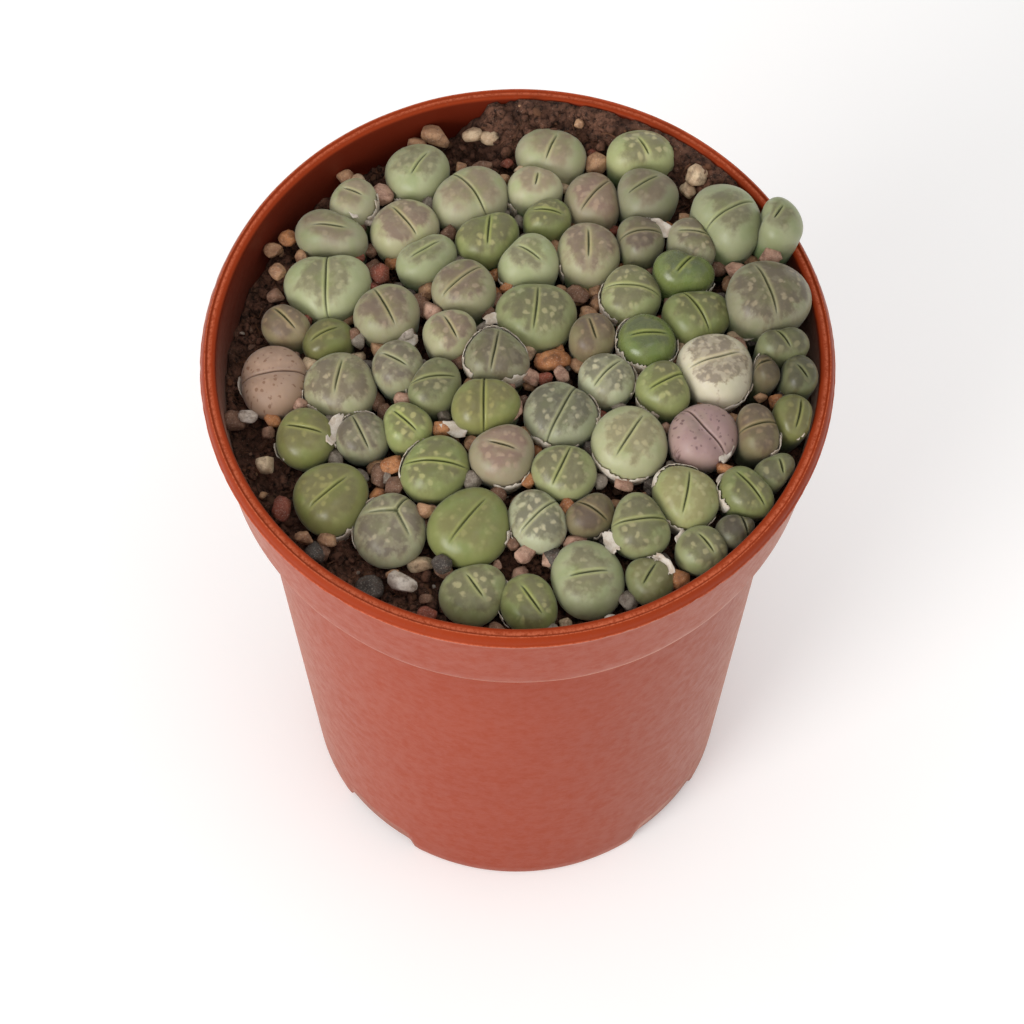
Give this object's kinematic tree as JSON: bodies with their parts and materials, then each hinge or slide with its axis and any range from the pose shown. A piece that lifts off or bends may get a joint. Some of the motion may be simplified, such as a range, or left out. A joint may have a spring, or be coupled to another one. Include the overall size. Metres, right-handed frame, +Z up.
{
  "type": "potted lithops",
  "caption": "Tapered plastic nursery pot with a tall collar and notched foot, packed to the rim with living-stone succulents in gritty soil.",
  "frame": {"origin": "centre of the pot's foot, on the surface that the pot stands on", "axes": "+Z up along the pot's axis, -Y towards the side that faces the viewer, +X to the viewer's right"},
  "size_m": [0.085, 0.085, 0.1078],
  "materials": {
    "pot_plastic": "satin terracotta-coloured polypropylene",
    "soil": "dark, fibrous potting soil with grit",
    "lithops_green": "smooth green succulent skin with darker windows",
    "lithops_grey": "smooth grey-green succulent skin with dark patches",
    "lithops_brown": "smooth grey-brown succulent skin with darker windows",
    "lithops_pink": "smooth pinkish succulent skin with brown dots",
    "dry_skin": "thin, papery old leaf skin",
    "grit_tan": "rounded tan and orange grit",
    "grit_grey": "dark grey stone"
  },
  "bodies": {
    "root": {"nursery_pot": "pot_plastic", "soil": "soil", "lithops_01": "lithops_grey", "lithops_02": "lithops_grey", "lithops_03": "lithops_grey", "lithops_04": "lithops_brown", "lithops_05": "lithops_grey", "lithops_06": "lithops_brown", "lithops_07": "lithops_grey", "lithops_08": "lithops_green", "lithops_09": "lithops_grey", "lithops_10": "lithops_green", "lithops_11": "lithops_green", "lithops_12": "lithops_pink", "lithops_13": "lithops_brown", "lithops_14": "lithops_green", "lithops_15": "lithops_green", "lithops_16": "lithops_green", "lithops_17": "lithops_green", "lithops_18": "lithops_brown", "lithops_19": "lithops_brown", "lithops_20": "lithops_pink", "lithops_21": "lithops_grey", "lithops_22": "lithops_green", "lithops_23": "lithops_grey", "lithops_24": "lithops_brown", "lithops_25": "lithops_grey", "lithops_26": "lithops_green", "lithops_27": "lithops_green", "lithops_28": "lithops_grey", "lithops_29": "lithops_grey", "lithops_30": "lithops_green", "lithops_31": "lithops_brown", "lithops_32": "lithops_grey", "lithops_33": "lithops_green", "lithops_34": "lithops_green", "lithops_35": "lithops_grey", "lithops_36": "lithops_brown", "lithops_37": "lithops_grey", "lithops_38": "lithops_green", "lithops_39": "lithops_grey", "lithops_40": "lithops_green", "lithops_41": "lithops_pink", "lithops_42": "lithops_brown", "lithops_43": "lithops_green", "lithops_44": "lithops_grey", "lithops_45": "lithops_green", "lithops_46": "lithops_pink", "lithops_47": "lithops_green", "lithops_48": "lithops_grey", "lithops_49": "lithops_brown", "lithops_50": "lithops_green", "lithops_51": "lithops_green", "lithops_52": "lithops_green", "lithops_53": "lithops_grey", "lithops_54": "lithops_green", "lithops_55": "lithops_green", "lithops_56": "lithops_brown", "stone_tan": "grit_tan", "stone_dark_grey": "grit_grey"}
  },
  "joints": []
}
